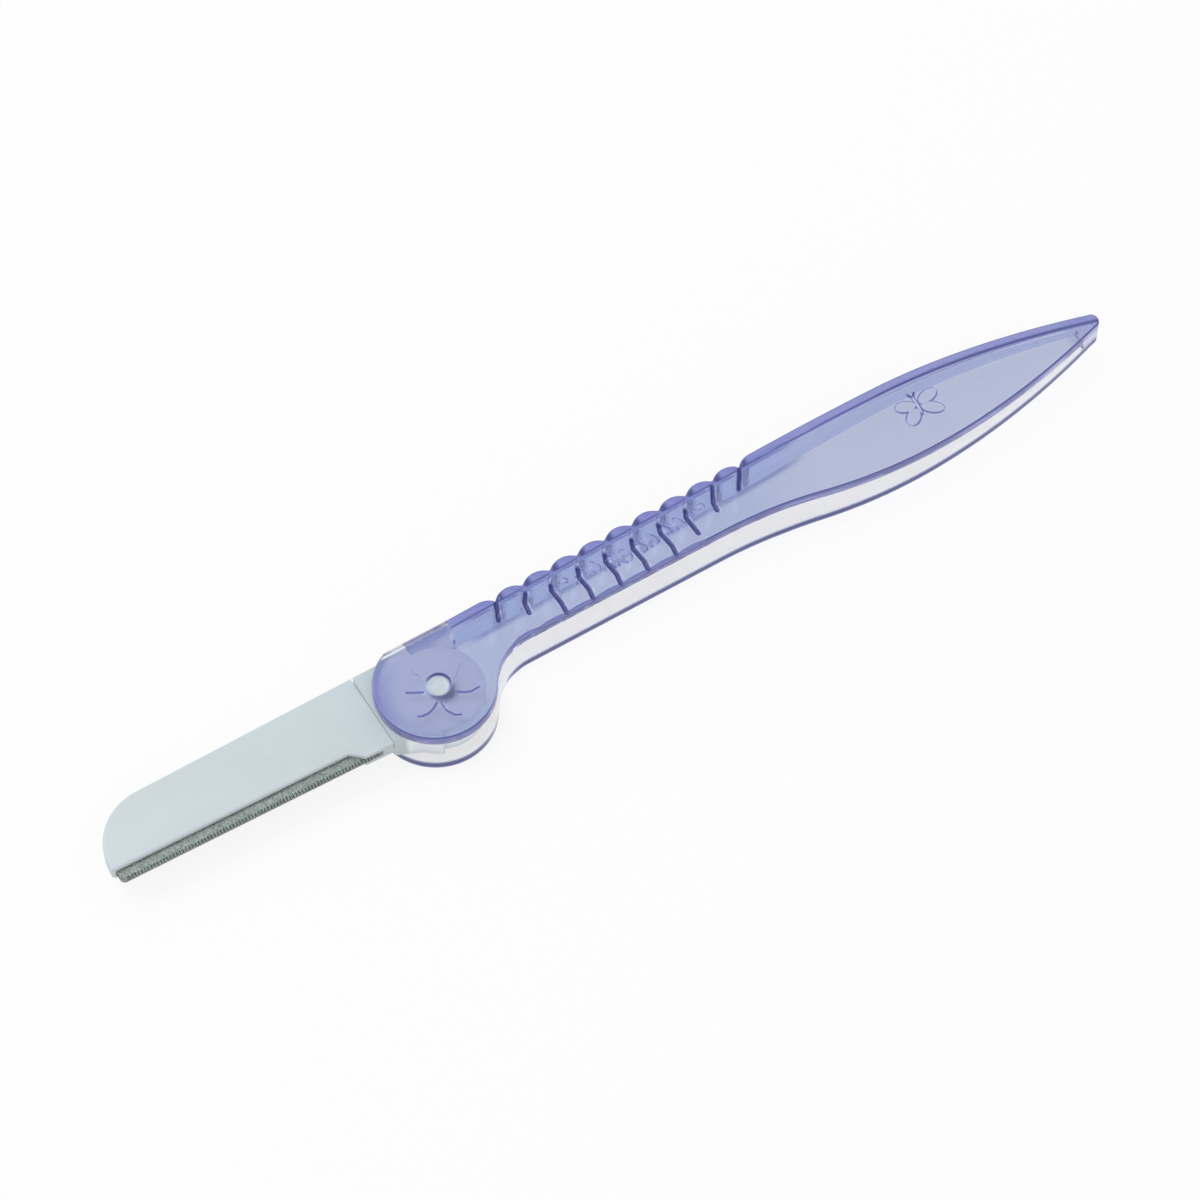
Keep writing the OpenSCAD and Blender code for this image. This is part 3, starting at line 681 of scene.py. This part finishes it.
def softened(node, name, levels, radius):
    """Copy of a CAD node's mesh with its points joined and its flat faces whole. Convex edges that lie at
    one of the levels and clear of the pivot are rounded by a quarter circle of the radius."""
    work = bmesh.new()
    work.from_mesh(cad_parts[node].data)
    bmesh.ops.remove_doubles(work, verts=work.verts, dist=1e-6)
    bmesh.ops.dissolve_limit(work, angle_limit=0.002, verts=work.verts, edges=work.edges)

    def lies_at(edge, z):
        return all(
            abs(end.co.z - MM * z) < 1e-6 and end.co.xy.length > MM * ARM_CLEAR for end in edge.verts)

    folds = [edge for edge in work.edges if edge.is_convex and edge.calc_face_angle(0) > 1]
    rims = [edge for edge in folds if any(lies_at(edge, z) for z in levels)]
    bmesh.ops.bevel(
        work, geom=rims, offset=MM * radius, offset_type="OFFSET", segments=4, profile=0.5,
        affect="EDGES", clamp_overlap=False)
    mesh = bpy.data.meshes.new(name)
    work.to_mesh(mesh)
    work.free()
    mesh.shade_smooth()
    mesh.set_sharp_from_angle(angle=SHARP)
    made = bpy.data.objects.new(name, mesh)
    scene.collection.objects.link(made)
    return made


carrier = softened("blade_carrier", "head_carrier", (6.25, 1.75, 2.8), 0.3)
carrier.data.materials.append(head_white.material)
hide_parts("blade_carrier")
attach(carrier, "blade_head")


# Blade cover: the front half of the head, moulded in the same white plastic. It is welded to the carrier
# over the blade, and its front face has a rounded edge.
cover = softened("blade_cover", "head_cover", (5.2,), 0.36)
cover.data.materials.append(head_white.material)
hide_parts("blade_cover")
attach(cover, "blade_head")


# Razor blade: a strip of hardened steel with fine lines from the grinding wheel, held on two pegs inside
# the head. Its shape is the solid's own, and only the finish is new.
ground = Finish("ground_steel")
scratches = ground.grain(0.08, 3, (1, 0.05, 1))
ground.show(ground.node("BsdfPrincipled", {}, {
    "Base Color": ground.blend(scratches, (0.42, 0.43, 0.44, 1), (0.62, 0.63, 0.64, 1)), "Metallic": 1.0,
    "Roughness": 0.24 + 0.16 * scratches, "Normal": ground.uneven(scratches, 0.003)}))
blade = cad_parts["razor_blade"]
blade.data.materials.clear()
blade.data.materials.append(ground.material)


# Skin guard: thin dull sheet metal, folded over the blade's edge and clamped between the halves of the
# head. A comb of fine slots is cut through the fold, and the corner at the far end is rounded.
dull = Finish("guard_metal")
speck, smear = dull.grain(0.22, 4), dull.grain(1.6, 2)
wear = (2.4 * speck - 0.9).math("ADD", 0.4 * smear, clamp=True)
dull.show(dull.node("BsdfPrincipled", {}, {
    "Base Color": dull.blend(wear, (0.13, 0.15, 0.145, 1), (0.42, 0.475, 0.455, 1)),
    "Metallic": 0.75, "Roughness": 0.4 + 0.2 * speck, "Normal": dull.uneven(speck, 0.012)}))
EDGE_LEN, GUARD_H, CORNER, TILT = 39, 3.22, 0.7, math.atan(1.1 / 39)
HEEL_X, HEEL_Y, OUTER_SKIN, INNER_SKIN = -10.6, -3.35, 0.5, 0.3
SLOTS, FIRST_SLOT, COMB, SLOT_W, SLOT_H = 80, 0.75, 0.47, 0.11, 0.52
comb_starts = FIRST_SLOT + COMB * np.arange(SLOTS)[:, None]
rounding = EDGE_LEN - CORNER + CORNER * np.sin(np.radians([0, 18, 36, 54, 72, 90]))
along = np.concatenate([[0], (comb_starts + [0, SLOT_W]).ravel(), rounding])
tip_lift = CORNER - np.sqrt(CORNER ** 2 - np.clip(along - EDGE_LEN + CORNER, 0, CORNER) ** 2)


def folded(radius):
    """Section of the sheet at a distance from its middle plane: two straight leaves, joined by half a
    circle of that radius."""
    bend = np.radians(np.arange(0, 181, 22.5))
    across = np.concatenate([[radius, radius], radius * np.cos(bend), [-radius, -radius]])
    rise = np.concatenate([[GUARD_H, SLOT_H], OUTER_SKIN - radius * np.sin(bend), [SLOT_H, GUARD_H]])
    return across, rise


def perforated(shape, solid):
    """Faces of a sheet between two grids of points, numbered one after the other: both skins over the
    solid cells, and a wall wherever a solid cell ends."""
    skin = np.arange(shape[0] * shape[1]).reshape(shape)
    under, edged = skin + skin.size, np.pad(solid, 1)
    skins = [
        np.stack([grid[:-1, :-1], grid[1:, :-1], grid[1:, 1:], grid[:-1, 1:]], -1)[solid]
        for grid in (skin, under)]
    walls = np.stack([skin[:, :-1], skin[:, 1:], under[:, 1:], under[:, :-1]], -1)
    sills = np.stack([skin[:-1], skin[1:], under[1:], under[:-1]], -1)
    walls = walls[edged[1:, 1:-1] != edged[:-1, 1:-1]]
    sills = sills[edged[1:-1, 1:] != edged[1:-1, :-1]]
    return np.concatenate([*skins, walls, sills]).tolist()


guard_shell = Shell()
for radius in (OUTER_SKIN, INNER_SKIN):
    across, rise = folded(radius)
    u = np.repeat(along, len(rise))
    v = (tip_lift[:, None] + rise * (GUARD_H - tip_lift[:, None]) / GUARD_H).ravel()
    x = HEEL_X - u * math.cos(TILT) + v * math.sin(TILT)
    y = HEEL_Y + u * math.sin(TILT) + v * math.cos(TILT)
    guard_shell.add(np.stack([x, y], 1), MID_Z + np.tile(across, len(along)))
solid_cells = np.ones((len(along) - 1, len(rise) - 1), bool)
solid_cells[1:2 * SLOTS:2, 2:-2] = False
guard_shell.faces = perforated((len(along), len(rise)), solid_cells)
guard = guard_shell.build("comb_guard")
guard.data.materials.append(dull.material)
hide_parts("skin_guard")
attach(guard, "blade_head")
